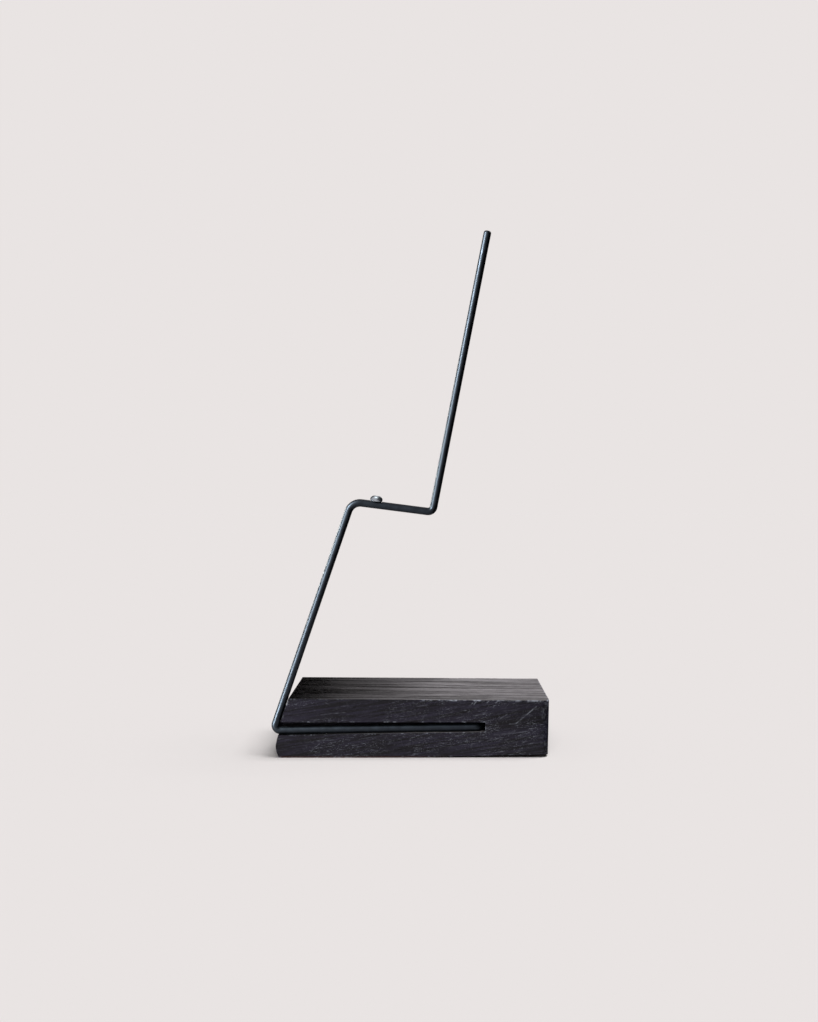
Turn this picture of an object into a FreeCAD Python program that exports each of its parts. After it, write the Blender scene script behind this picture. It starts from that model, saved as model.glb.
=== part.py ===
import FreeCAD, Part
import math
import os

from FreeCAD import Vector

os.makedirs("parts", exist_ok=True)

# Incense burner: a bent wire stand with a stick cup, standing in a slotted wood block.
# +X runs along the block, +Y goes from its front face to its back, +Z is up.
# The origin is the centre of the block's underside. Lengths are millimetres, angles are degrees.

# Block
block_length = 108.25
block_depth = 55.0
block_height = 23.15
top_fall = 0.7
left_end_slant = 13.65
left_break_height = 17.5
right_end_lean = 1.3
toe_cut_length = 2.4
toe_cut_height = 4.0
toe_radius = 7.0
corner_radius = 3.0
edge_radius = 0.3
worn_edge_length = 66.0
worn_edge_height = 1.35
worn_edge_depth = 7.0

# Slot in the front face
slot_length = 83.5
slot_depth = 6.0
slot_floor_height = 8.78
slot_floor_rise = 0.93
slot_headroom = 0.75
slot_corner_radius = 0.4

# Wire
wire_diameter = 3.0
wire_inset = 0.7
wire_floor_gap = 0.05
wire_end_gap = 0.4
leg_clearance = 0.15
leg_lean = 18.94
leg_length = 95.2
seat_fall = 7.3
seat_length = 32.15
mast_lean = 11.1
mast_length = 112.9
foot_inside_radius = 0.5
shoulder_inside_radius = 3.3
heel_inside_radius = 0.7
tail_inside_radius = 0.5
tail_length = 24.0
tail_fit = 0.05
tail_end_gap = 1.0
tail_chamfer = 0.4
tip_flat_diameter = 1.2

# Stick cup, brazed to a flat filed on the seat and drilled with it
cup_place = 9.55
cup_diameter = 4.9
cup_base_diameter = 3.9
cup_height = 2.3
cup_waist_height = 0.9
cup_lip_width = 0.25
cup_lip_depth = 0.25
seat_flat_depth = 0.25
seat_flat_margin = 0.3
stick_hole_diameter = 1.8
hole_floor_thickness = 0.75


def sin_deg(angle):
    return math.sin(math.radians(angle))


def cos_deg(angle):
    return math.cos(math.radians(angle))


def tan_deg(angle):
    return math.tan(math.radians(angle))


# A cutting shape reaches past what it cuts by one wire diameter
wire_radius = wire_diameter / 2
cut_margin = wire_diameter

# Faces of the block. Above its break the left end is cut parallel to the wire's leg
front_y = -block_depth / 2
left_x = -block_length / 2
right_x = block_length / 2
right_height = block_height - top_fall
left_break_x = left_x + left_break_height * tan_deg(left_end_slant)
top_left_x = left_break_x + (block_height - left_break_height) * tan_deg(leg_lean)
top_right_x = right_x + right_height * tan_deg(right_end_lean)
slot_end_x = left_x + slot_length


def slot_floor_z(x):
    return slot_floor_height + (x - left_x) * tan_deg(slot_floor_rise)


# Corners of the wire's centre line: the foot lies on the slot's floor,
# and the leg passes the block's top left edge at its clearance
wire_y = front_y + wire_inset + wire_radius
foot_lift = (wire_floor_gap + wire_radius) / cos_deg(slot_floor_rise)
leg_direction = Vector(sin_deg(leg_lean), 0, cos_deg(leg_lean))
seat_direction = Vector(cos_deg(seat_fall), 0, -sin_deg(seat_fall))
seat_normal = Vector(sin_deg(seat_fall), 0, cos_deg(seat_fall))
mast_direction = Vector(sin_deg(mast_lean), 0, cos_deg(mast_lean))

leg_offset = wire_radius + leg_clearance
leg_pass_x = top_left_x - leg_offset * cos_deg(leg_lean)
leg_pass_z = block_height + leg_offset * sin_deg(leg_lean)
leg_drop = leg_pass_z - slot_floor_z(leg_pass_x) - foot_lift
foot_x = leg_pass_x - leg_drop / (1 / tan_deg(leg_lean) - tan_deg(slot_floor_rise))
tail_x = slot_end_x - wire_end_gap - wire_radius

tail_corner = Vector(tail_x, wire_y, slot_floor_z(tail_x) + foot_lift)
tail_end = tail_corner + Vector(0, tail_length, 0)
foot_corner = Vector(foot_x, wire_y, slot_floor_z(foot_x) + foot_lift)
shoulder_corner = foot_corner + leg_direction * leg_length
heel_corner = shoulder_corner + seat_direction * seat_length
mast_end = heel_corner + mast_direction * mast_length

# Seat of the stick cup
cup_centre = shoulder_corner + seat_direction * cup_place
cup_base = cup_centre + seat_normal * (wire_radius - seat_flat_depth)
stick_hole_floor = cup_centre - seat_normal * (wire_radius - hole_floor_thickness)
stick_hole_depth = (cup_base - stick_hole_floor).Length + cup_height


def prism(corners, y_start, depth):
    """A closed outline of (x, z) corners, pushed along +Y."""
    points = [Vector(x, y_start, z) for x, z in corners]
    face = Part.Face(Part.makePolygon(points + points[:1]))
    return face.extrude(Vector(0, depth, 0))


def tetrahedron(a, b, c, d):
    """A solid with four corners."""
    triangles = [(a, b, c), (a, b, d), (a, c, d), (b, c, d)]
    faces = [Part.Face(Part.makePolygon([p, q, r, p])) for p, q, r in triangles]
    return Part.makeSolid(Part.makeShell(faces))


def edges_where(shape, test):
    return [edge for edge in shape.Edges if test(edge)]


def is_upright(edge):
    direction = edge.tangentAt(edge.FirstParameter)
    return abs(direction.z) > max(abs(direction.x), abs(direction.y))


def slot_cutter():
    """The stopped slot, wider at its open left end because its floor rises to the right."""
    open_x = left_x - cut_margin
    ceiling_z = slot_floor_z(slot_end_x) + wire_floor_gap + wire_diameter + slot_headroom
    outline = [
        (open_x, slot_floor_z(open_x)),
        (slot_end_x, slot_floor_z(slot_end_x)),
        (slot_end_x, ceiling_z),
        (open_x, ceiling_z),
    ]
    cutter = prism(outline, front_y - cut_margin, slot_depth + cut_margin)

    def at_stopped_end(edge):
        middle = edge.CenterOfMass
        return middle.x > slot_end_x - slot_corner_radius and edge.BoundBox.YLength > slot_depth

    return cutter.makeFillet(slot_corner_radius, edges_where(cutter, at_stopped_end))


def worn_edge_cutter():
    """A sliver off the front bottom edge, growing from nothing to its full size at the right end."""
    reach = (worn_edge_length + cut_margin) / worn_edge_length
    start = Vector(right_x - worn_edge_length, front_y, 0)
    up_front_face = start + Vector(worn_edge_length, 0, worn_edge_height) * reach
    along_underside = start + Vector(worn_edge_length, worn_edge_depth, 0) * reach
    outside = start + Vector(worn_edge_length, -worn_edge_depth, -worn_edge_height) * reach
    return tetrahedron(start, up_front_face, along_underside, outside)


def tail_hole_cutter():
    """The blind hole that the wire's tail pushes into."""
    start_y = front_y + slot_depth - cut_margin
    depth = tail_end.y + tail_end_gap - start_y
    start = Vector(tail_corner.x, start_y, tail_corner.z)
    return Part.makeCylinder(wire_radius + tail_fit, depth, start, Vector(0, 1, 0))


def make_base_block():
    outline = [
        (left_x + toe_cut_length, 0),
        (right_x, 0),
        (top_right_x, right_height),
        (top_left_x, block_height),
        (left_break_x, left_break_height),
        (left_x + toe_cut_height * tan_deg(left_end_slant), toe_cut_height),
    ]
    block = prism(outline, front_y, block_depth)

    def at_toe(edge):
        middle = edge.CenterOfMass
        return middle.x < 0 and abs(middle.z - toe_cut_height) < edge_radius and not is_upright(edge)

    block = block.makeFillet(toe_radius, edges_where(block, at_toe))

    def at_front_right(edge):
        middle = edge.CenterOfMass
        return is_upright(edge) and middle.x > 0 and middle.y < 0

    block = block.makeFillet(corner_radius, edges_where(block, at_front_right))

    def on_top_rim_or_back_corner(edge):
        on_top = edge.BoundBox.ZMin > right_height - edge_radius
        at_back = is_upright(edge) and edge.CenterOfMass.y > 0
        return on_top or at_back

    block = block.makeFillet(edge_radius, edges_where(block, on_top_rim_or_back_corner))
    return block.cut([slot_cutter(), worn_edge_cutter(), tail_hole_cutter()])


def rounded_path(corners, radii):
    """Straight runs through the corners, joined by tangent arcs of the given radii."""
    edges = []
    run_start = corners[0]
    for before, corner, after, radius in zip(corners, corners[1:], corners[2:], radii):
        back = (before - corner).normalize()
        ahead = (after - corner).normalize()
        half_angle = back.getAngle(ahead) / 2
        setback = radius / math.tan(half_angle)
        towards_centre = (back + ahead).normalize()
        arc_start = corner + back * setback
        arc_end = corner + ahead * setback
        arc_middle = corner + towards_centre * (radius / math.sin(half_angle) - radius)
        edges.append(Part.LineSegment(run_start, arc_start).toShape())
        edges.append(Part.Arc(arc_start, arc_middle, arc_end).toShape())
        run_start = arc_end
    edges.append(Part.LineSegment(run_start, corners[-1]).toShape())
    return Part.Wire(edges)


def seat_flat_cutter():
    """The flat filed on top of the seat for the cup."""
    length = cup_base_diameter + 2 * seat_flat_margin
    flat = Part.makeBox(length, wire_diameter + 2 * cut_margin, seat_flat_depth + cut_margin)
    flat.translate(Vector(-length / 2, -wire_radius - cut_margin, 0))
    flat.rotate(Vector(0, 0, 0), Vector(0, 1, 0), seat_fall)
    flat.translate(cup_base)
    return flat


def stick_hole_cutter():
    """The hole for the stick, drilled through the cup into the wire."""
    radius = stick_hole_diameter / 2
    return Part.makeCylinder(radius, stick_hole_depth + cut_margin, stick_hole_floor, seat_normal)


def make_wire_stand():
    corners = [tail_end, tail_corner, foot_corner, shoulder_corner, heel_corner, mast_end]
    inside_radii = [tail_inside_radius, foot_inside_radius, shoulder_inside_radius, heel_inside_radius]
    path = rounded_path(corners, [wire_radius + radius for radius in inside_radii])
    section = Part.Wire(Part.makeCircle(wire_radius, tail_end, Vector(0, -1, 0)))
    stand = path.makePipeShell([section], True, False)

    def end_rim(end):
        return edges_where(stand, lambda edge: (edge.CenterOfMass - end).Length < wire_radius / 2)

    stand = stand.makeFillet(wire_radius - tip_flat_diameter / 2, end_rim(mast_end))
    stand = stand.makeChamfer(tail_chamfer, end_rim(tail_end))
    print("wire: volume over section times length",
          round(stand.Volume / (math.pi * wire_radius ** 2 * path.Length), 4))
    return stand.cut([seat_flat_cutter(), stick_hole_cutter()])


def make_stick_cup():
    """A domed cup, turned about the seat's normal: drawn-in base, round waist, drilled crown."""
    hole_radius = stick_hole_diameter / 2
    waist_radius = cup_diameter / 2
    base_radius = cup_base_diameter / 2
    lip_radius = hole_radius + cup_lip_width

    # The crown is part of an ellipse that reaches the cup's height at the lip
    crown_rise = (cup_height - cup_waist_height) / math.sqrt(1 - (lip_radius / waist_radius) ** 2)

    # The side below the waist is an arc that leaves the waist upright
    draw_in = waist_radius - base_radius
    side_radius = (draw_in ** 2 + cup_waist_height ** 2) / (2 * draw_in)
    side_angle = math.asin(cup_waist_height / side_radius) / 2
    side_middle = Vector(waist_radius - side_radius * (1 - math.cos(side_angle)), 0,
                         cup_waist_height - side_radius * math.sin(side_angle))

    base_inner = Vector(hole_radius, 0, 0)
    base_outer = Vector(base_radius, 0, 0)
    waist = Vector(waist_radius, 0, cup_waist_height)
    lip_outer = Vector(lip_radius, 0, cup_height)
    lip_inner = Vector(hole_radius, 0, cup_height - cup_lip_depth)
    crown_top = Vector(0, 0, cup_waist_height + crown_rise)
    ellipse = Part.Ellipse(waist, crown_top, Vector(0, 0, cup_waist_height))
    crown_edge = Part.ArcOfEllipse(ellipse, 0, ellipse.parameter(lip_outer)).toShape()
    outline = Part.Wire(Part.__sortEdges__([
        Part.LineSegment(base_inner, base_outer).toShape(),
        Part.Arc(base_outer, side_middle, waist).toShape(),
        crown_edge,
        Part.LineSegment(lip_outer, lip_inner).toShape(),
        Part.LineSegment(lip_inner, base_inner).toShape(),
    ]))
    cup = Part.Face(outline).revolve(Vector(0, 0, 0), Vector(0, 0, 1), 360)
    cup.rotate(Vector(0, 0, 0), Vector(0, 1, 0), seat_fall)
    cup.translate(cup_base)
    return cup


pieces = {
    "base_block": make_base_block(),
    "wire_stand": make_wire_stand(),
    "stick_cup": make_stick_cup(),
}
for name, shape in pieces.items():
    solid = shape.Solids[0]
    print(name, "solids", len(shape.Solids), "valid", solid.isValid(), "volume", round(solid.Volume, 2))
    solid.exportStep("parts/" + name + ".step")
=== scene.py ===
"""Looks of an incense burner: a bent wire stand with a bright stick cup in a black stained wood block."""

import math

import bpy
import numpy as np
from bpy.props import FloatProperty, FloatVectorProperty, PointerProperty
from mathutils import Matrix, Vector


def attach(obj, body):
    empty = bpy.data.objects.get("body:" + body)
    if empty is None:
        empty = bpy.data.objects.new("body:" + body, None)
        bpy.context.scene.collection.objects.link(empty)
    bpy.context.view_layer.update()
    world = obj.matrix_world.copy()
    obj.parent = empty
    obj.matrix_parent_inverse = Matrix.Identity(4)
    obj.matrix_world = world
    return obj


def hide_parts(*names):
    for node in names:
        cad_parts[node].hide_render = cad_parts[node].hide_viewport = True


bl_info = {
    "name": "Incense Burner",
    "version": (1, 0, 0),
    "blender": (4, 5, 0),
    "location": "View3D > Sidebar > Incense",
    "description": "Dresses a wire incense burner on a stained wood block, with its stage",
    "category": "Object",
}

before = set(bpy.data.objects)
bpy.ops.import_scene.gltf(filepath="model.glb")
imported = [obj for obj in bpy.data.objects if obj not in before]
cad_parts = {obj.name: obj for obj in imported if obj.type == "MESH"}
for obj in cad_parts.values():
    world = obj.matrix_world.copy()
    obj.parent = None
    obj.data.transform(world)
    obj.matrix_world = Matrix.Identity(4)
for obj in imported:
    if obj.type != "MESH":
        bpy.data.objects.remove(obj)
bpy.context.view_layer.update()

MM = 0.001


# Settings that a user would change

class BlockSettings(bpy.types.PropertyGroup):
    """Wood block."""

    mesh_step: FloatProperty(
        name="Mesh step", description="Spacing of the points on the block's surface",
        default=0.3 * MM, min=0.22 * MM, subtype="DISTANCE", unit="LENGTH")
    grain_depth: FloatProperty(
        name="Grain depth", description="How deep the soft grain is brushed out",
        default=0.06 * MM, subtype="DISTANCE", unit="LENGTH")
    edge_wear: FloatProperty(
        name="Edge wear", description="How deep the edges are rubbed and chipped",
        default=0.12 * MM, subtype="DISTANCE", unit="LENGTH")
    scratch_depth: FloatProperty(
        name="Scratch depth", description="How deep the scratches on the front are",
        default=0.06 * MM, subtype="DISTANCE", unit="LENGTH")
    end_bulge: FloatProperty(
        name="End bulge", description="How far the left end stands proud behind the wire's leg",
        default=1.3 * MM, subtype="DISTANCE", unit="LENGTH")
    stain: FloatVectorProperty(
        name="Stain", description="Blue-black stain on the sides of the block",
        default=(0.0136, 0.0120, 0.0245), size=3, min=0, max=1, subtype="COLOR")
    top_stain: FloatVectorProperty(
        name="Top stain", description="Black stain on the top of the block",
        default=(0.0018, 0.0016, 0.0016), size=3, min=0, max=1, subtype="COLOR")
    # Pale grey on the top: partly grain where the stain is thin, partly painted sheen, as more of it is
    # laid on towards the right of the top
    thin_stain_and_sheen: FloatVectorProperty(
        name="Thin stain", description="Hard grain on the top, where the stain is thin",
        default=(0.300, 0.282, 0.298), size=3, min=0, max=1, subtype="COLOR")
    worn: FloatVectorProperty(
        name="Worn wood", description="Flecks, scratches and rubbed edges",
        default=(0.50, 0.54, 0.63), size=3, min=0, max=1, subtype="COLOR")
    bare: FloatVectorProperty(
        name="Bare wood", description="Red wood along the bottom edge, where the stain stops",
        default=(0.040, 0.016, 0.010), size=3, min=0, max=1, subtype="COLOR")


class WireSettings(bpy.types.PropertyGroup):
    """Wire stand."""

    paint: FloatVectorProperty(
        name="Paint", description="Satin black on the wire",
        default=(0.0015, 0.0017, 0.0022), size=3, min=0, max=1, subtype="COLOR")
    roughness: FloatProperty(
        name="Roughness", description="Roughness of the satin paint",
        default=0.42, min=0, max=1, subtype="FACTOR")


class CupSettings(bpy.types.PropertyGroup):
    """Stick cup."""

    metal: FloatVectorProperty(
        name="Metal", description="Polished metal of the cup",
        default=(0.42, 0.46, 0.51), size=3, min=0, max=1, subtype="COLOR")
    roughness: FloatProperty(
        name="Roughness", description="Roughness of the polish",
        default=0.43, min=0, max=1, subtype="FACTOR")


class StageSettings(bpy.types.PropertyGroup):
    """Floor, light and camera."""

    backdrop: FloatVectorProperty(
        name="Backdrop", description="Pale colour of the floor and the backdrop",
        default=(0.8148, 0.7759, 0.7681), size=3, min=0, max=1, subtype="COLOR")
    fill: FloatProperty(
        name="Fill", description="Soft light from all round, as a share of the whole",
        default=0.11, min=0, max=1, subtype="FACTOR")
    front: FloatProperty(
        name="Front light", description="Light from the camera's side, as a share of the whole",
        default=0.27, min=0, max=1, subtype="FACTOR")
    key_elevation: FloatProperty(
        name="Key height", description="Height of the key light above the floor",
        default=math.radians(64), subtype="ANGLE", unit="ROTATION")
    key_azimuth: FloatProperty(
        name="Key turn", description="Turn of the key light from the right towards the front",
        default=math.radians(8), subtype="ANGLE", unit="ROTATION")
    key_angle: FloatProperty(
        name="Key size", description="Angle that the soft key light fills",
        default=math.radians(41), subtype="ANGLE", unit="ROTATION")
    camera_place: FloatVectorProperty(
        name="Camera", description="Where the camera stands",
        default=(7.645 * MM, -510.1 * MM, 106.95 * MM), size=3, subtype="XYZ", unit="LENGTH")
    camera_lens: FloatProperty(
        name="Lens", description="Focal length on a 36 mm long side",
        default=43.35, unit="CAMERA")
    camera_shift: FloatVectorProperty(
        name="Shift", description="Shift of the picture, in long sides",
        default=(-0.0205, -0.0254), size=2, subtype="XYZ")


class BurnerSettings(bpy.types.PropertyGroup):
    """All settings of the incense burner."""

    block: PointerProperty(
        name="Block", description="Shape and colours of the wood block", type=BlockSettings)
    wire: PointerProperty(
        name="Wire", description="Finish of the wire stand", type=WireSettings)
    cup: PointerProperty(
        name="Cup", description="Finish of the stick cup", type=CupSettings)
    stage: PointerProperty(
        name="Stage", description="Floor, light and camera", type=StageSettings)


# Shader nodes

def add_node(tree, kind, inputs=None, **settings):
    """Adds a node, sets it up, and links or sets its inputs."""
    node = tree.nodes.new(kind)
    for name, value in settings.items():
        setattr(node, name, value)
    for socket, value in (inputs or {}).items():
        if isinstance(value, bpy.types.NodeSocket):
            tree.links.new(value, node.inputs[socket])
        else:
            node.inputs[socket].default_value = value
    return node


def add_math(tree, operation, first, second=0.0, clamp=False):
    """Works out one value from two."""
    node = add_node(tree, "ShaderNodeMath", {0: first, 1: second}, operation=operation, use_clamp=clamp)
    return node.outputs[0]


def add_range(tree, value, low, high, to_low=0.0, to_high=1.0):
    """Maps low..high smoothly to to_low..to_high."""
    node = add_node(tree, "ShaderNodeMapRange", {
        "Value": value, "From Min": low, "From Max": high, "To Min": to_low, "To Max": to_high,
    }, interpolation_type="SMOOTHSTEP")
    return node.outputs["Result"]


def add_blend(tree, first, second, share):
    """Blends two values, with that share of the second."""
    first_part = add_math(tree, "MULTIPLY", first, 1 - share)
    second_part = add_math(tree, "MULTIPLY", second, share)
    return add_math(tree, "ADD", first_part, second_part)


def add_mix(tree, share, first, second):
    """Mixes two colours. Sockets 6 and 7 take the colours, and output 2 gives the mix."""
    node = add_node(tree, "ShaderNodeMix", {0: share, 6: first, 7: second}, data_type="RGBA")
    return node.outputs[2]


def add_noise(tree, position, scale, detail=3.0, roughness=0.55):
    """Noise with a bump size in millimetres along each axis."""
    mapping = add_node(tree, "ShaderNodeMapping", {
        "Vector": position, "Scale": [1 / size for size in scale]})
    noise = add_node(tree, "ShaderNodeTexNoise", {
        "Vector": mapping.outputs[0], "Scale": 1.0, "Detail": detail, "Roughness": roughness})
    return noise.outputs["Fac"]


def rgba(colour):
    """A colour with full alpha."""
    return (*colour, 1.0)


def new_material(name):
    """A material with an empty Principled shader. Returns it, its tree and the shader."""
    material = bpy.data.materials.new(name)
    material.use_nodes = True
    tree = material.node_tree
    tree.nodes.clear()
    shader = add_node(tree, "ShaderNodeBsdfPrincipled")
    output = add_node(tree, "ShaderNodeOutputMaterial")
    tree.links.new(shader.outputs[0], output.inputs[0])
    return material, tree, shader


def millimetres(tree):
    """Place on the object in millimetres."""
    place = add_node(tree, "ShaderNodeTexCoord").outputs["Object"]
    scaled = add_node(tree, "ShaderNodeVectorMath", {0: place, "Scale": 1 / MM}, operation="SCALE")
    return scaled.outputs[0]


def new_group(name, inputs, outputs):
    """A shader node group. inputs and outputs are {name: socket type}."""
    tree = bpy.data.node_groups.new(name, "ShaderNodeTree")
    for socket, kind in inputs.items():
        tree.interface.new_socket(socket, in_out="INPUT", socket_type=kind)
    for socket, kind in outputs.items():
        tree.interface.new_socket(socket, in_out="OUTPUT", socket_type=kind)
    return tree, add_node(tree, "NodeGroupInput"), add_node(tree, "NodeGroupOutput")


def add_group(tree, group, inputs):
    """Places a node group in a material."""
    return add_node(tree, "ShaderNodeGroup", inputs, node_tree=group)


def top_lines(group, position):
    """Lines along the grain, for the top."""
    turn = math.radians(0.6)
    flat = add_node(group, "ShaderNodeMapping", {
        "Vector": position, "Rotation": (0, 0, turn), "Scale": (1, 1, 0)}).outputs[0]
    wide = add_noise(group, flat, (90, 8, 1), detail=1)
    narrow = add_noise(group, flat, (85, 3.2, 1), detail=4, roughness=0.75)
    line = add_range(group, add_blend(group, wide, narrow, 0.7), 0.43, 0.57)
    fine = add_noise(group, flat, (26, 0.8, 1), detail=3, roughness=0.7)
    fine = add_range(group, fine, 0.36, 0.60, 0.45, 1.12)
    return add_math(group, "MULTIPLY", line, fine, clamp=True)


def side_streaks(group, position):
    """Broad streaks with finer threads, for the sides."""
    streak = add_noise(group, position, (40, 5, 1.8), detail=5, roughness=0.7)
    thread = add_noise(group, position, (15, 2, 0.6), detail=3, roughness=0.65)
    return add_range(group, add_blend(group, streak, thread, 0.55), 0.39, 0.61)


def open_pores(group, position):
    """Short open pores along the grain."""
    pore = add_noise(group, position, (7, 0.9, 0.5), detail=3)
    return add_range(group, pore, 0.56, 0.70)


def pale_flecks(group, position):
    """Pale dashes and specks that gather in patches."""
    dash = add_noise(group, position, (2.6, 1.0, 0.28), detail=3, roughness=0.7)
    dash = add_range(group, dash, 0.565, 0.70)
    speck = add_noise(group, position, (0.42, 0.42, 0.38), detail=2)
    speck = add_range(group, speck, 0.60, 0.73, 0.0, 0.9)
    patch = add_noise(group, position, (18, 18, 5), detail=3)
    patch = add_range(group, patch, 0.40, 0.62, 0.15, 1.0)
    return add_math(group, "MULTIPLY", add_math(group, "MAXIMUM", dash, speck), patch)


def end_rings(group, position):
    """Growth rings round the pith, with open vessels, for the ends."""
    pith_y = 8
    pith_z = -35
    ring_width = 2.1
    ring_waver = 5.0
    from_pith = add_node(group, "ShaderNodeMapping", {
        "Vector": position, "Scale": (0, 1, 1), "Location": (0, -pith_y, -pith_z)})
    radius = add_node(group, "ShaderNodeVectorMath", {0: from_pith.outputs[0]}, operation="LENGTH")
    waver = add_noise(group, position, (60, 6, 6), detail=3)
    waver = add_math(group, "MULTIPLY", waver, ring_waver)
    radius = add_math(group, "ADD", radius.outputs["Value"], waver)
    wave = add_math(group, "SINE", add_math(group, "MULTIPLY", radius, 2 * math.pi / ring_width))
    ring = add_range(group, wave, -0.4, 1.0, 0.15, 0.75)
    vessel = add_noise(group, position, (9, 0.5, 0.5), detail=2)
    vessel = add_range(group, vessel, 0.52, 0.64)
    return add_math(group, "MAXIMUM", ring, vessel)


def make_grain_group():
    """Long grain along X, for the top, the sides and the ends."""
    side_tilt = math.radians(9)
    group, start, end = new_group(
        "long_grain", {"Position": "NodeSocketVector"},
        {"Line": "NodeSocketFloat", "Streak": "NodeSocketFloat", "Pore": "NodeSocketFloat",
         "Fleck": "NodeSocketFloat", "Ring": "NodeSocketFloat"})
    position = start.outputs["Position"]
    tilted = add_node(group, "ShaderNodeMapping", {
        "Vector": position, "Rotation": (0, side_tilt, 0)}).outputs[0]
    group.links.new(top_lines(group, position), end.inputs["Line"])
    group.links.new(side_streaks(group, tilted), end.inputs["Streak"])
    group.links.new(open_pores(group, tilted), end.inputs["Pore"])
    group.links.new(pale_flecks(group, tilted), end.inputs["Fleck"])
    group.links.new(end_rings(group, position), end.inputs["Ring"])
    return group


def make_mottle_group():
    """Slow uneven patches of a finish, from Low to High."""
    group, start, end = new_group(
        "mottle", {"Position": "NodeSocketVector", "Size": "NodeSocketFloat",
                   "Low": "NodeSocketFloat", "High": "NodeSocketFloat"},
        {"Value": "NodeSocketFloat"})
    shrink = add_math(group, "DIVIDE", 1.0, start.outputs["Size"])
    place = add_node(group, "ShaderNodeVectorMath", {
        0: start.outputs["Position"], "Scale": shrink}, operation="SCALE").outputs[0]
    noise = add_node(group, "ShaderNodeTexNoise", {"Vector": place, "Scale": 1.0, "Detail": 4.0})
    value = add_range(group, noise.outputs["Fac"], 0.3, 0.7, start.outputs["Low"], start.outputs["High"])
    group.links.new(value, end.inputs["Value"])
    return group


def shared_group(name):
    """The node group of that name, built on first use."""
    makers = {"long_grain": make_grain_group, "mottle": make_mottle_group}
    return bpy.data.node_groups.get(name) or makers[name]()


# Materials

def wood_colour(tree, grain, axes, on_top, on_end, settings):
    """Stain that follows the grain, painted sheen as pale grey growing towards the right of the top, and
    pale where it is worn.
    """
    fleck_strength = 0.29
    # Painted sheen: the top is painted paler towards its right, standing in for the light that it
    # reflects there
    painted_sheen_ramp = add_range(tree, axes.outputs["X"], -58, 45)
    even_painted_sheen = add_range(tree, axes.outputs["X"], -15, 45, 0.0, 0.30)
    line = add_math(tree, "MAXIMUM", grain.outputs["Line"], even_painted_sheen)
    thin = add_math(tree, "MULTIPLY", add_math(tree, "MULTIPLY", line, on_top), painted_sheen_ramp)
    deep = add_range(tree, grain.outputs["Streak"], 0, 1, 0.9, 0.0)
    deep = add_math(tree, "MAXIMUM", deep, grain.outputs["Pore"])
    deep = add_range(tree, on_end, 0, 1, deep, grain.outputs["Ring"])
    deep = add_math(tree, "MAXIMUM", deep, on_top)
    stain = add_mix(tree, deep, rgba(settings.stain), rgba(settings.top_stain))
    # The pale grey on the top is partly grain where the stain is thin and partly painted sheen
    stain = add_mix(tree, thin, stain, rgba(settings.thin_stain_and_sheen))
    unstained = add_range(tree, axes.outputs["Z"], 0.7, 0.3)
    stain = add_mix(tree, unstained, stain, rgba(settings.bare))

    pale = add_math(tree, "MULTIPLY", grain.outputs["Fleck"], fleck_strength)
    pale = add_math(tree, "MULTIPLY", pale, add_math(tree, "SUBTRACT", 1.0, on_top))
    pale = add_math(tree, "MULTIPLY", pale, add_range(tree, on_end, 0, 1, 1.0, 0.3))
    wear = add_node(tree, "ShaderNodeAttribute", attribute_name="wear").outputs["Fac"]
    pale = add_math(tree, "MAXIMUM", pale, wear, clamp=True)
    return add_mix(tree, pale, stain, rgba(settings.worn))


def wood_roughness(tree, grain, axes, on_top):
    """Roughness of the stain: dull in the pores, smoother on the left of the top than on its right."""
    pore_dulling = 0.2
    roughness = add_range(tree, grain.outputs["Streak"], 0, 1, 0.52, 0.38)
    dulled = add_math(tree, "MULTIPLY", grain.outputs["Pore"], pore_dulling)
    roughness = add_math(tree, "ADD", roughness, dulled)
    smooth = add_range(tree, axes.outputs["X"], -50, -12, 0.24, -0.10)
    smooth = add_math(tree, "MULTIPLY", smooth, on_top)
    return add_math(tree, "SUBTRACT", roughness, smooth, clamp=True)


def stained_wood(settings):
    """Black stained open grain, rubbed pale at the edges, with painted sheen as grey on the right of the
    top.
    """
    bump_height = 0.08 * MM
    bump_strength = 0.7
    material, tree, shader = new_material("stained_wood")
    place = millimetres(tree)
    axes = add_node(tree, "ShaderNodeSeparateXYZ", {0: place})
    grain = add_group(tree, shared_group("long_grain"), {"Position": place})
    normal = add_node(tree, "ShaderNodeNewGeometry").outputs["Normal"]
    facing = add_node(tree, "ShaderNodeSeparateXYZ", {0: normal})
    on_top = add_range(tree, facing.outputs["Z"], 0.6, 0.9)
    on_end = add_range(tree, add_math(tree, "ABSOLUTE", facing.outputs["X"]), 0.6, 0.9)

    colour = wood_colour(tree, grain, axes, on_top, on_end, settings)
    tree.links.new(colour, shader.inputs["Base Color"])
    roughness = wood_roughness(tree, grain, axes, on_top)
    tree.links.new(roughness, shader.inputs["Roughness"])
    shader.inputs["Specular IOR Level"].default_value = 0.30
    shader.inputs["Specular Tint"].default_value = (0.94, 0.92, 1.0, 1.0)

    relief = add_math(tree, "SUBTRACT", grain.outputs["Streak"], grain.outputs["Pore"])
    bump = add_node(tree, "ShaderNodeBump", {
        "Height": relief, "Distance": bump_height, "Strength": bump_strength})
    tree.links.new(bump.outputs[0], shader.inputs["Normal"])
    return material


def satin_black(settings):
    """Satin black paint on steel wire, with an uneven sheen."""
    unevenness = 0.06
    material, tree, shader = new_material("satin_black")
    place = millimetres(tree)
    patches = add_group(tree, shared_group("mottle"), {
        "Position": place, "Size": 3.0,
        "Low": settings.roughness - unevenness, "High": settings.roughness + unevenness})
    shader.inputs["Base Color"].default_value = rgba(settings.paint)
    shader.inputs["Specular IOR Level"].default_value = 0.36
    shader.inputs["Specular Tint"].default_value = (0.66, 0.78, 1.0, 1.0)
    tree.links.new(patches.outputs["Value"], shader.inputs["Roughness"])
    return material


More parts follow.
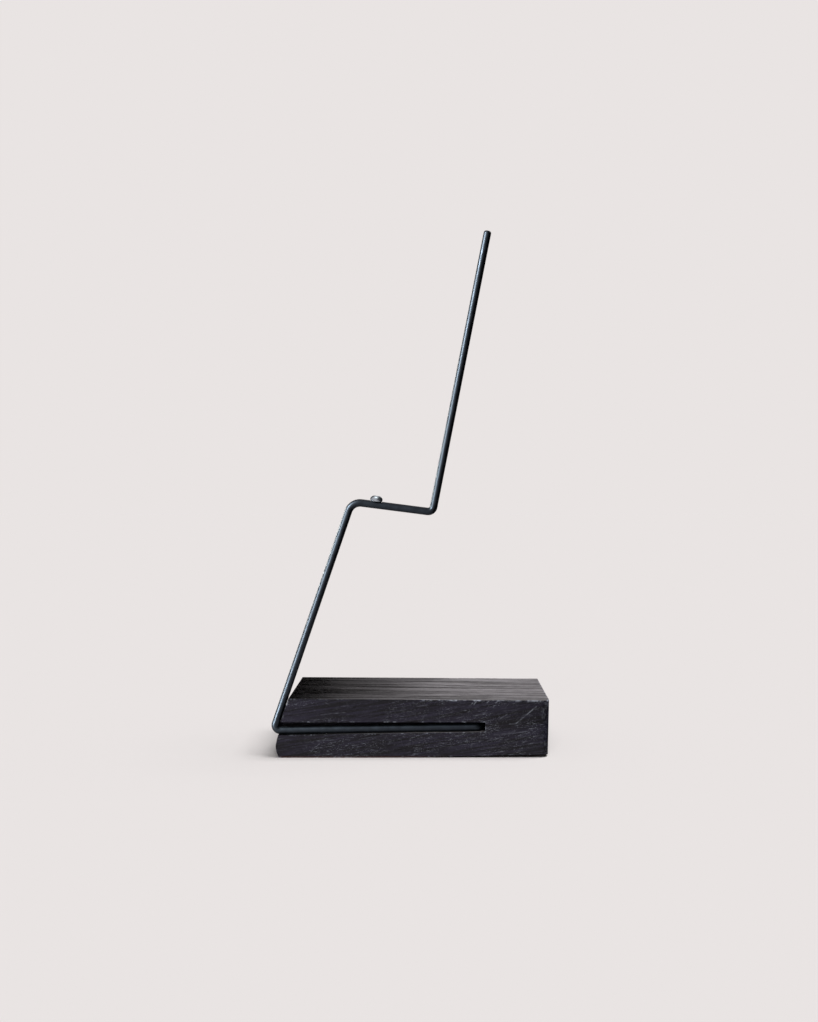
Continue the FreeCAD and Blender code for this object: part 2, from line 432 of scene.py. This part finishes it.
def polished_metal(settings):
    """Bright metal with a slightly uneven polish."""
    unevenness = 0.05
    material, tree, shader = new_material("polished_metal")
    place = millimetres(tree)
    patches = add_group(tree, shared_group("mottle"), {
        "Position": place, "Size": 0.8,
        "Low": settings.roughness - unevenness, "High": settings.roughness + unevenness})
    shader.inputs["Base Color"].default_value = rgba(settings.metal)
    shader.inputs["Metallic"].default_value = 1.0
    tree.links.new(patches.outputs["Value"], shader.inputs["Roughness"])
    return material


def pale_floor(settings):
    """Matt pale floor."""
    material, _, shader = new_material("pale_floor")
    shader.inputs["Base Color"].default_value = rgba(settings.backdrop)
    shader.inputs["Roughness"].default_value = 1.0
    shader.inputs["Specular IOR Level"].default_value = 0.0
    return material


# Wood block

OCTREE_DEPTH = 9
SHARP_ANGLE = math.radians(40)
SCRATCH_PALENESS = 0.36

# Whole numbers that scatter the values of the noise
CELL_SCATTER = np.array((73856093, 19349663, 83492791))
SEED_SCATTER = 2654435761
MIX_SCATTER = 1274126177
LOW_BITS = 0xFFFF

# Rubbed places on the front, as x, z, reach in millimetres and strength
RUBBED_PLACES = (
    (42.0, 22.4, 16.0, 1.8),
    (20.6, 22.7, 12.0, 1.6),
    (30.2, 12.0, 3.5, 1.0),
    (0.0, 14.0, 30.0, 0.40),
    (-40.0, 14.0, 10.0, 0.55),
    (-48.6, 21.3, 1.6, 1.6),
    (52.0, 4.0, 4.5, 0.6),
)

# Scratches on the front, as start and end (x, z) and strength
SCRATCHES = (
    ((41.4, 13.4), (49.3, 20.0), 0.75),
    ((38.9, 13.2), (41.4, 13.4), 0.50),
    ((35.1, 15.2), (37.9, 17.0), 0.55),
    ((32.8, 8.9), (46.1, 10.3), 0.35),
    ((24.9, 16.4), (30.0, 17.4), 0.50),
    ((23.2, 20.3), (24.5, 21.5), 0.70),
    ((24.9, 20.9), (25.9, 22.2), 0.70),
    ((30.0, 21.5), (30.8, 22.3), 0.60),
    ((33.5, 21.5), (34.3, 22.3), 0.60),
    ((4.1, 14.4), (5.7, 16.8), 0.45),
    ((2.6, 20.1), (6.9, 20.7), 0.25),
    ((-35.1, 16.8), (-30.8, 17.4), 0.20),
    ((-30.8, 17.4), (-25.3, 17.7), 0.30),
    ((-33.3, 21.5), (-31.9, 20.9), 0.50),
    ((-39.0, 2.4), (-38.0, 3.4), 0.60),
    ((-36.7, 6.6), (-32.3, 7.0), 0.45),
)

# Heights and depths in millimetres over which the bulge behind the wire's leg comes and goes
BULGE_HEIGHTS = (7.0, 11.5, 14.0, 22.5)
BULGE_DEPTHS = (-23.4, -22.2, -18.0, 24.0)


def lattice_value(cells, seed):
    """A fixed random value from 0 to 1 for each whole-number cell."""
    x, y, z = (cells * CELL_SCATTER).T
    mixed = x ^ y ^ z ^ seed * SEED_SCATTER
    mixed = (mixed ^ (mixed >> 13)) * MIX_SCATTER
    mixed = mixed ^ (mixed >> 16)
    return (mixed & LOW_BITS) / LOW_BITS


def smooth_noise(points, bump_size, seed):
    """Smooth noise from 0 to 1 at each point, with a bump size along each axis."""
    places = points / np.array(bump_size)
    cells = np.floor(places).astype(np.int64)
    shares = places - cells
    shares = shares * shares * (3 - 2 * shares)
    total = np.zeros(len(points))
    for corner in np.ndindex(2, 2, 2):
        weight = np.where(corner, shares, 1 - shares).prod(axis=1)
        total += weight * lattice_value(cells + np.array(corner), seed)
    return total


def ramp(values, low, high):
    """0 below low, 1 above high, smooth between."""
    share = np.clip((values - low) / (high - low), 0, 1)
    return share * share * (3 - 2 * share)


def remeshed_copy(node, name, step):
    """A copy of a CAD node with evenly spaced points and sharp edges."""
    source = bpy.data.objects.new(name + "_source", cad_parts[node].data.copy())
    bpy.context.scene.collection.objects.link(source)
    remesh = source.modifiers.new("even_points", "REMESH")
    remesh.mode = "SHARP"
    remesh.octree_depth = OCTREE_DEPTH
    remesh.scale = max(source.dimensions) / (step * 2 ** OCTREE_DEPTH)
    remesh.use_remove_disconnected = False
    evaluated = source.evaluated_get(bpy.context.evaluated_depsgraph_get())
    mesh = bpy.data.meshes.new_from_object(evaluated)
    bpy.data.objects.remove(source)
    mesh.name = name
    mesh.materials.clear()
    return mesh


def points_and_normals(mesh):
    """The mesh's points and their normals, one row each."""
    points = np.zeros(len(mesh.vertices) * 3)
    normals = np.zeros(len(mesh.vertices) * 3)
    mesh.vertices.foreach_get("co", points)
    mesh.vertices.foreach_get("normal", normals)
    return points.reshape(-1, 3), normals.reshape(-1, 3)


def edge_sharpness(mesh, points, normals, rounds=1, gain=3):
    """How far each point stands out from its neighbours: 0 on a flat, 1 on an outer edge."""
    ends = np.zeros(len(mesh.edges) * 2, np.int64)
    mesh.edges.foreach_get("vertices", ends)
    ends = np.concatenate([ends.reshape(-1, 2), ends.reshape(-1, 2)[:, ::-1]])
    towards = points[ends[:, 1]] - points[ends[:, 0]]
    towards /= np.linalg.norm(towards, axis=1, keepdims=True)
    drop = -(towards * normals[ends[:, 0]]).sum(axis=1)
    count = np.bincount(ends[:, 0], minlength=len(points))
    sharpness = np.bincount(ends[:, 0], drop, len(points)) / count
    for _ in range(rounds):
        nearby = np.bincount(ends[:, 0], sharpness[ends[:, 1]], len(points)) / count
        sharpness = np.maximum(sharpness, nearby)
    return np.clip(sharpness * gain, 0, 1)


def near_rubbed_place(places, least=0.25, full_share=0.4):
    """How strongly the edges are rubbed at each place in millimetres, fully over a share of the reach."""
    strength = np.full(len(places), least)
    for x, z, reach, most in RUBBED_PLACES:
        distance = np.hypot(places[:, 0] - x, places[:, 2] - z)
        strength = np.maximum(strength, most * (1 - ramp(distance, full_share * reach, reach)))
    return strength


def scratch_marks(places, half_width=0.15, front_depth=1):
    """The scratches on the front face, from 0 to 1, at each place in millimetres."""
    marks = np.zeros(len(places))
    on_front = places[:, 1] < places[:, 1].min() + front_depth
    for start, end, strength in SCRATCHES:
        along = np.array(end) - start
        from_start = places[:, [0, 2]] - start
        share = np.clip(from_start @ along / (along @ along), 0, 1)
        distance = np.linalg.norm(from_start - share[:, None] * along, axis=1)
        marks = np.maximum(marks, strength * (1 - ramp(distance, 0, 2 * half_width)))
    gaps = smooth_noise(places, (0.9, 0.9, 0.9), seed=31)
    broken = 0.3 + 1.1 * ramp(gaps, 0.3, 0.7)
    return np.clip(marks * broken, 0, 1) * on_front


def bulge_behind_leg(places, normals):
    """How proud the left end stands behind the wire's leg, at the slot's height, from 0 to 1."""
    height = ramp(places[:, 2], *BULGE_HEIGHTS[:2]) * (1 - ramp(places[:, 2], *BULGE_HEIGHTS[2:]))
    depth = ramp(places[:, 1], *BULGE_DEPTHS[:2]) * (1 - ramp(places[:, 1], *BULGE_DEPTHS[2:]))
    faces_left = normals[:, 0] < -0.5
    return height * depth * faces_left


def carve_block(mesh, settings):
    """Brushes out the soft grain, chips the edges, scratches the front and leaves the left end proud."""
    points, normals = points_and_normals(mesh)
    places = points / MM
    coarse_grain = smooth_noise(places, (40, 1.7, 7), seed=11)
    fine_grain = smooth_noise(places, (22, 0.9, 2.4), seed=12)
    grain = 0.65 * coarse_grain + 0.35 * fine_grain
    along_grain = 1 - np.abs(normals[:, 0])
    depth = settings.grain_depth * (1 - grain) * along_grain

    sharpness = edge_sharpness(mesh, points, normals)
    large_nicks = smooth_noise(places, (2.6, 2.0, 2.0), seed=21)
    small_nicks = smooth_noise(places, (0.6, 0.6, 0.6), seed=22)
    nicks = 0.5 * large_nicks + 0.5 * small_nicks
    rubbed = near_rubbed_place(places)
    eased = 0.13 * rubbed
    chips = sharpness * ramp(nicks, 0.62 - eased, 0.76 - eased)
    depth += settings.edge_wear * chips

    scratches = scratch_marks(places)
    depth += settings.scratch_depth * scratches
    paleness = np.clip(1.4 * rubbed, 0, 1) * (0.3 + 0.7 * ramp(nicks, 0.56, 0.68))
    wear = np.maximum(chips * paleness, SCRATCH_PALENESS * scratches)

    resting = normals[:, 2] < -0.5
    depth[resting] = 0
    depth -= settings.end_bulge * bulge_behind_leg(places, normals)
    cad_corners = np.array(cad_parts["base_block"].bound_box)
    points = points - normals * depth[:, None]
    points = np.clip(points, cad_corners.min(axis=0), cad_corners.max(axis=0))
    mesh.vertices.foreach_set("co", points.ravel())
    attribute = mesh.attributes.new("wear", "FLOAT", "POINT")
    attribute.data.foreach_set("value", wear.astype(np.float32))
    mesh.shade_smooth()
    mesh.set_sharp_from_angle(angle=SHARP_ANGLE)
    mesh.update()


# Stage

# Turn, height and angle of the light from the camera's side
FRONT_LIGHT = (math.radians(90), math.radians(45), math.radians(30))

# Soft lamps, as name, place, width and height in metres, brightness and the CAD node that they shine on
SOFTBOXES = (
    ("left_low", (-0.52, -0.33, 0.04), 0.12, 0.14, 235, "wire_stand"),
    ("left_middle", (-0.50, 0.32, 0.22), 0.16, 0.10, 42, "wire_stand"),
    ("left_high", (-0.52, -0.33, 0.45), 0.12, 0.18, 290, "wire_stand"),
    ("overhead", (-0.02, -0.12, 0.6), 0.2, 0.2, 7, "stick_cup"),
)
SOFTBOX_TARGET = (0, 0, 0.1)
SOFTBOX_COLOUR = (0.93, 1.0, 0.97)

# Black cards that darken reflections, as name and corners in metres
FLAGS = (
    ("right_flag", ((0.25, -0.9, 0), (0.25, 0.6, 0), (0.25, 0.6, 0.9), (0.25, -0.9, 0.9))),
    ("floor_flag", ((0.058, -0.5, 0.0005), (0.25, -0.5, 0.0005),
                    (0.25, 0.5, 0.0005), (0.058, 0.5, 0.0005))),
    ("back_flag", ((-2, 0.6, 0), (0.014, 0.6, 0), (-0.256, 0.6, 2.4), (-2, 0.6, 2.4))),
)


def make_floor(settings):
    """A wide pale floor."""
    reach = 4.0
    mesh = bpy.data.meshes.new("floor")
    corners = [(-reach, -reach, 0), (reach, -reach, 0), (reach, reach, 0), (-reach, reach, 0)]
    mesh.from_pydata(corners, [], [(0, 1, 2, 3)])
    mesh.materials.append(pale_floor(settings))
    floor = bpy.data.objects.new("floor", mesh)
    bpy.context.scene.collection.objects.link(floor)


def make_world(settings):
    """The pale backdrop, which metal shows too, and a dimmer fill for everything else."""
    world = bpy.data.worlds.new("studio")
    world.use_nodes = True
    tree = world.node_tree
    tree.nodes.clear()
    rays = add_node(tree, "ShaderNodeLightPath")
    seen = add_math(tree, "MAXIMUM", rays.outputs["Is Camera Ray"], rays.outputs["Is Glossy Ray"])
    seen = add_math(tree, "MAXIMUM", seen, rays.outputs["Is Transmission Ray"])
    backdrop = add_node(tree, "ShaderNodeBackground", {"Color": rgba(settings.backdrop), "Strength": 1.0})
    fill = add_node(tree, "ShaderNodeBackground", {"Color": (1, 1, 1, 1), "Strength": settings.fill})
    mix = add_node(tree, "ShaderNodeMixShader", {0: seen, 1: fill.outputs[0], 2: backdrop.outputs[0]})
    output = add_node(tree, "ShaderNodeOutputWorld")
    tree.links.new(mix.outputs[0], output.inputs[0])
    bpy.context.scene.world = world


def aim(item, target):
    """Turns a lamp or a camera towards a target."""
    item.rotation_euler = (Vector(target) - item.location).to_track_quat("-Z", "Y").to_euler()


def make_sun(name, share, turn, elevation, angle):
    """A soft lamp that gives the floor a share of its light, turned from the right towards the front."""
    lamp = bpy.data.lights.new(name, "SUN")
    lamp.energy = share * math.pi / math.sin(elevation)
    lamp.angle = angle
    sun = bpy.data.objects.new(name, lamp)
    bpy.context.scene.collection.objects.link(sun)
    level = math.cos(elevation)
    sun.location = (level * math.cos(turn), -level * math.sin(turn), math.sin(elevation))
    aim(sun, (0, 0, 0))
    sun.visible_glossy = False


def make_softbox(name, place, width, height, brightness, node):
    """A softbox that only shows as a reflection on one CAD node."""
    lamp = bpy.data.lights.new(name, "AREA")
    lamp.shape = "RECTANGLE"
    lamp.size = width
    lamp.size_y = height
    lamp.energy = brightness * math.pi * width * height
    lamp.color = SOFTBOX_COLOUR
    softbox = bpy.data.objects.new(name, lamp)
    bpy.context.scene.collection.objects.link(softbox)
    softbox.location = place
    aim(softbox, SOFTBOX_TARGET)
    softbox.visible_diffuse = False
    softbox.visible_camera = False
    lit = bpy.data.collections.new(name + "_lights")
    lit.objects.link(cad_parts[node])
    softbox.light_linking.receiver_collection = lit


def make_flag(name, corners):
    """A black card that only shows as a reflection."""
    mesh = bpy.data.meshes.new(name)
    mesh.from_pydata(corners, [], [(0, 1, 2, 3)])
    material, _, shader = new_material(name)
    shader.inputs["Base Color"].default_value = (0, 0, 0, 1)
    shader.inputs["Specular IOR Level"].default_value = 0.0
    mesh.materials.append(material)
    flag = bpy.data.objects.new(name, mesh)
    bpy.context.scene.collection.objects.link(flag)
    flag.visible_camera = False
    flag.visible_diffuse = False
    flag.visible_shadow = False
    flag.visible_transmission = False


def make_camera(settings):
    """A level camera that looks along +Y."""
    long_side = 36
    nearest = 10 * MM
    data = bpy.data.cameras.new("camera")
    data.sensor_width = long_side
    data.lens = settings.camera_lens
    data.shift_x, data.shift_y = settings.camera_shift
    data.clip_start = nearest
    camera = bpy.data.objects.new("camera", data)
    bpy.context.scene.collection.objects.link(camera)
    camera.location = settings.camera_place
    aim(camera, camera.location + Vector((0, 1, 0)))
    bpy.context.scene.camera = camera


# Operators

def show_piece(name, mesh, body, node):
    """Puts a finished mesh in the scene in place of a CAD node."""
    piece = bpy.data.objects.new(name, mesh)
    bpy.context.scene.collection.objects.link(piece)
    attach(piece, body)
    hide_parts(node)
    return piece


def finish_node(node, material):
    """Gives a CAD node its finish."""
    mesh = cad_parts[node].data
    mesh.materials.clear()
    mesh.materials.append(material)


class INCENSE_OT_wood_block(bpy.types.Operator):
    """Make the worn, brushed wood block"""

    bl_idname = "incense.wood_block"
    bl_label = "Wood Block"

    def execute(self, context):
        settings = context.scene.incense_burner.block
        mesh = remeshed_copy("base_block", "wood_block", settings.mesh_step)
        carve_block(mesh, settings)
        mesh.materials.append(stained_wood(settings))
        show_piece("wood_block", mesh, "base", "base_block")
        return {"FINISHED"}


class INCENSE_OT_wire_stand(bpy.types.Operator):
    """Paint the bent wire stand"""

    bl_idname = "incense.wire_stand"
    bl_label = "Wire Stand"

    def execute(self, context):
        finish_node("wire_stand", satin_black(context.scene.incense_burner.wire))
        return {"FINISHED"}


class INCENSE_OT_stick_cup(bpy.types.Operator):
    """Polish the stick cup"""

    bl_idname = "incense.stick_cup"
    bl_label = "Stick Cup"

    def execute(self, context):
        finish_node("stick_cup", polished_metal(context.scene.incense_burner.cup))
        return {"FINISHED"}


class INCENSE_OT_stage(bpy.types.Operator):
    """Set up the floor, the light and the camera"""

    bl_idname = "incense.stage"
    bl_label = "Stage"

    def execute(self, context):
        settings = context.scene.incense_burner.stage
        make_floor(settings)
        make_world(settings)
        make_sun("key", 1 - settings.fill - settings.front, settings.key_azimuth,
                 settings.key_elevation, settings.key_angle)
        make_sun("front", settings.front, *FRONT_LIGHT)
        for softbox in SOFTBOXES:
            make_softbox(*softbox)
        for flag in FLAGS:
            make_flag(*flag)
        make_camera(settings)
        context.scene.view_settings.view_transform = "Standard"
        return {"FINISHED"}


# Sidebar and registration

class INCENSE_PT_sidebar(bpy.types.Panel):
    """Steps of the incense burner in the sidebar."""

    bl_label = "Incense Burner"
    bl_idname = "INCENSE_PT_sidebar"
    bl_space_type = "VIEW_3D"
    bl_region_type = "UI"
    bl_category = "Incense"

    def draw(self, context):
        for step in STEPS:
            self.layout.operator(step.bl_idname)


STEPS = (INCENSE_OT_wood_block, INCENSE_OT_wire_stand, INCENSE_OT_stick_cup, INCENSE_OT_stage)
SETTINGS = (BlockSettings, WireSettings, CupSettings, StageSettings, BurnerSettings)
CLASSES = (*SETTINGS, *STEPS, INCENSE_PT_sidebar)


def register():
    """Adds the settings, the steps and the sidebar to Blender."""
    for item in CLASSES:
        bpy.utils.register_class(item)
    bpy.types.Scene.incense_burner = PointerProperty(
        name="Incense burner", description="All settings of the incense burner", type=BurnerSettings)


def unregister():
    """Takes them out again."""
    del bpy.types.Scene.incense_burner
    for item in reversed(CLASSES):
        bpy.utils.unregister_class(item)


def main():
    """Makes the burner and its stage."""
    register()
    bpy.ops.incense.wood_block()
    bpy.ops.incense.wire_stand()
    bpy.ops.incense.stick_cup()
    bpy.ops.incense.stage()


if __name__ == "__main__":
    main()
